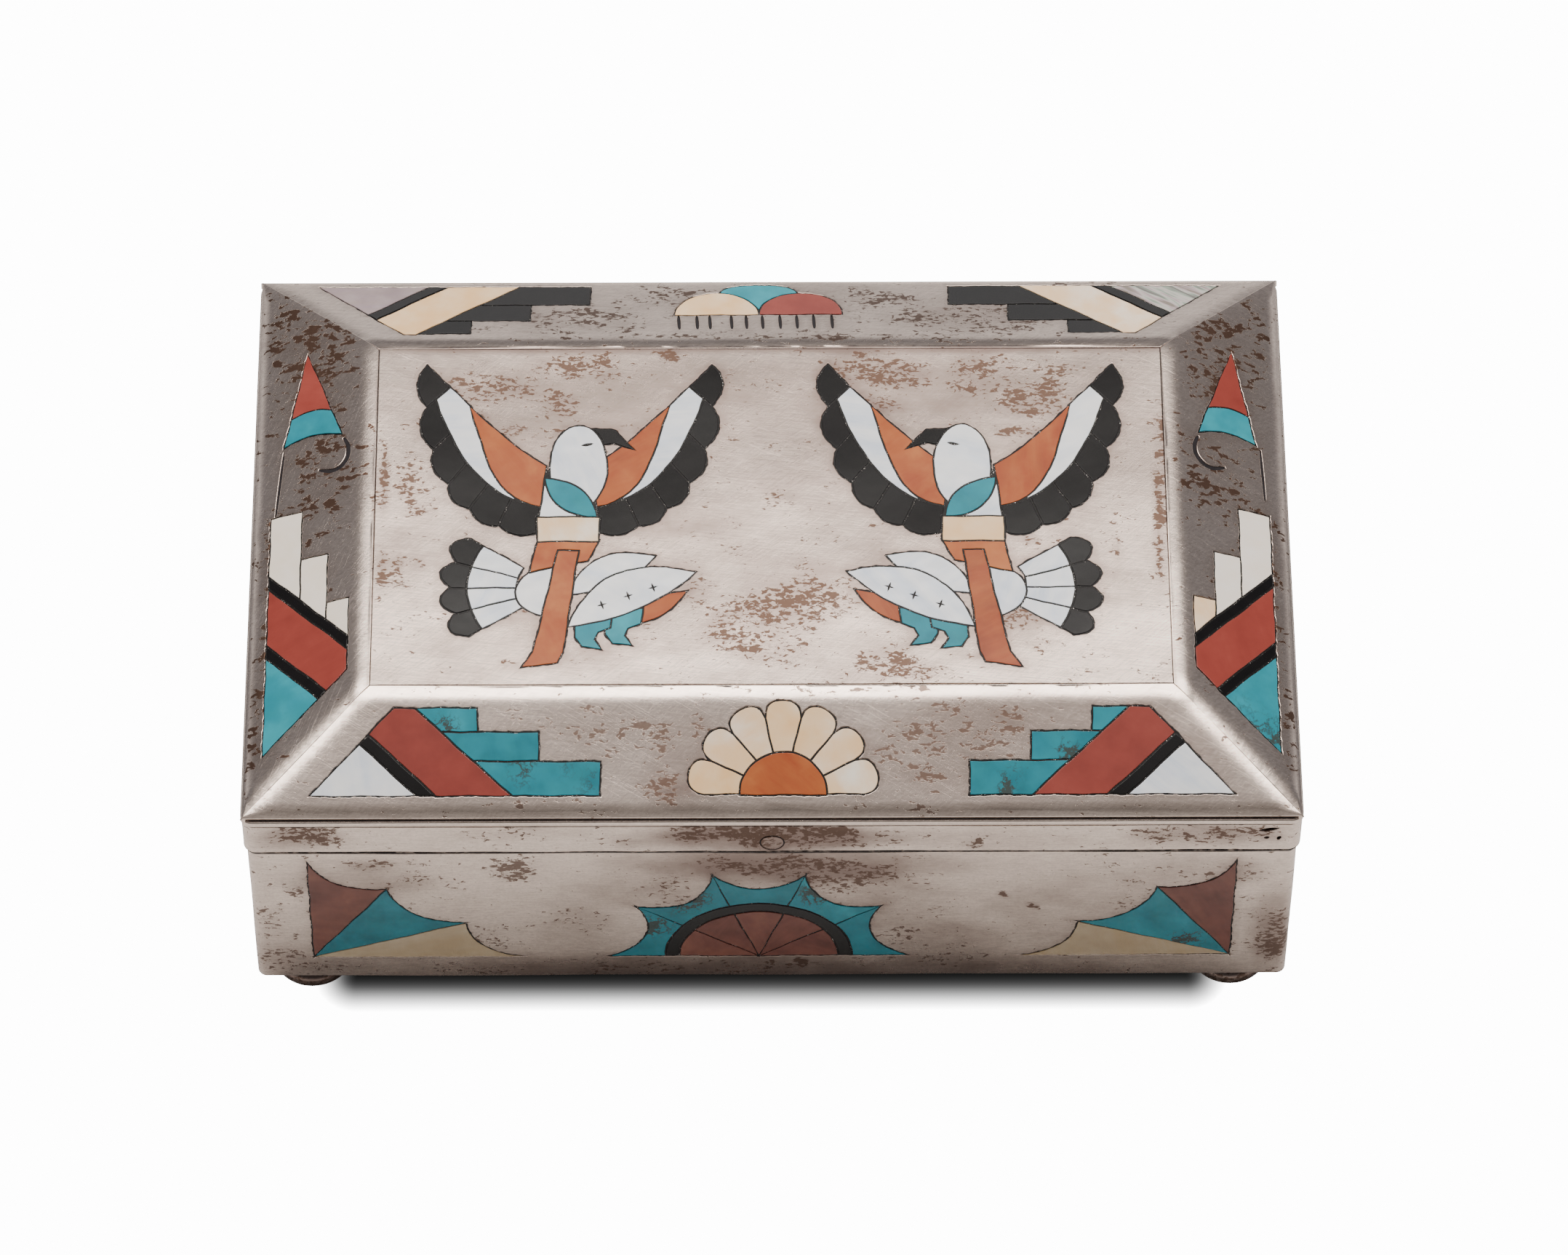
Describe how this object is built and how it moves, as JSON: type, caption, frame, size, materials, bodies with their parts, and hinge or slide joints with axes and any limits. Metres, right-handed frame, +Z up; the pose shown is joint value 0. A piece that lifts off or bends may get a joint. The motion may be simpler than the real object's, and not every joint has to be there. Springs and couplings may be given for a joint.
{
  "type": "inlaid silver box",
  "caption": "Rectangular silver trinket box on ball feet, with a lift-off hip-roof lid inlaid flush with turquoise, coral, jet and shell in geometric motifs and facing birds.",
  "frame": {"origin": "middle of the box in plan, at the level on which the feet stand", "axes": "+X along the length, to the right of someone who faces the front wall with the half sun; +Y towards the back wall; +Z up"},
  "size_m": [0.152, 0.0974, 0.0535],
  "materials": {
    "silver": null,
    "turquoise": "polished turquoise with brown matrix",
    "coral": "polished red coral",
    "orange_shell": "polished orange spiny oyster shell",
    "brown_shell": "polished brown shell",
    "pearl": "polished mother-of-pearl and abalone",
    "cream": "polished cream shell",
    "jet": "polished jet",
    "cement": "dark cement in the joints between the stones"
  },
  "bodies": {
    "root": {"body_walls": "silver", "body_floor": "silver", "rim_band": "silver", "rim_stud": "silver", "foot_front_left": "silver", "foot_front_right": "silver", "foot_back_left": "silver", "foot_back_right": "silver", "lid_frame": "silver", "lid_panel": "silver", "lid_slope_front": "silver", "lid_slope_back": "silver", "lid_slope_left": "silver", "lid_slope_right": "silver", "front_left_corner_stone": "pearl", "front_right_corner_stone": "pearl", "back_left_corner_stone": "pearl", "back_right_corner_stone": "pearl", "left_bird_head": "pearl", "right_bird_head": "pearl", "left_bird_tail": "pearl", "right_bird_tail": "pearl", "front_left_stripes": "coral", "front_right_stripes": "coral", "left_slope_stripes": "coral", "right_slope_stripes": "coral", "dome_coral": "coral", "left_arrow": "coral", "right_arrow": "coral", "front_left_steps": "turquoise", "front_right_steps": "turquoise", "left_slope_corner_stone": "turquoise", "right_slope_corner_stone": "turquoise", "dome_turquoise": "turquoise", "left_fan": "turquoise", "right_fan": "turquoise", "sun_rays": "turquoise", "left_bird_leg": "turquoise", "right_bird_leg": "turquoise", "back_left_stripes": "cream", "back_right_stripes": "cream", "left_slope_steps": "cream", "right_slope_steps": "cream", "dome_cream": "cream", "rosette_petals": "cream", "left_bird_torso": "cream", "right_bird_torso": "cream", "back_left_steps": "jet", "back_right_steps": "jet", "sun_ring": "jet", "left_bird_outer_wing": "jet", "left_bird_inner_wing": "jet", "right_bird_outer_wing": "jet", "right_bird_inner_wing": "jet", "rosette_disc": "orange_shell", "sun_shell": "orange_shell", "left_bird_skirt": "orange_shell", "right_bird_skirt": "orange_shell"}
  },
  "joints": []
}
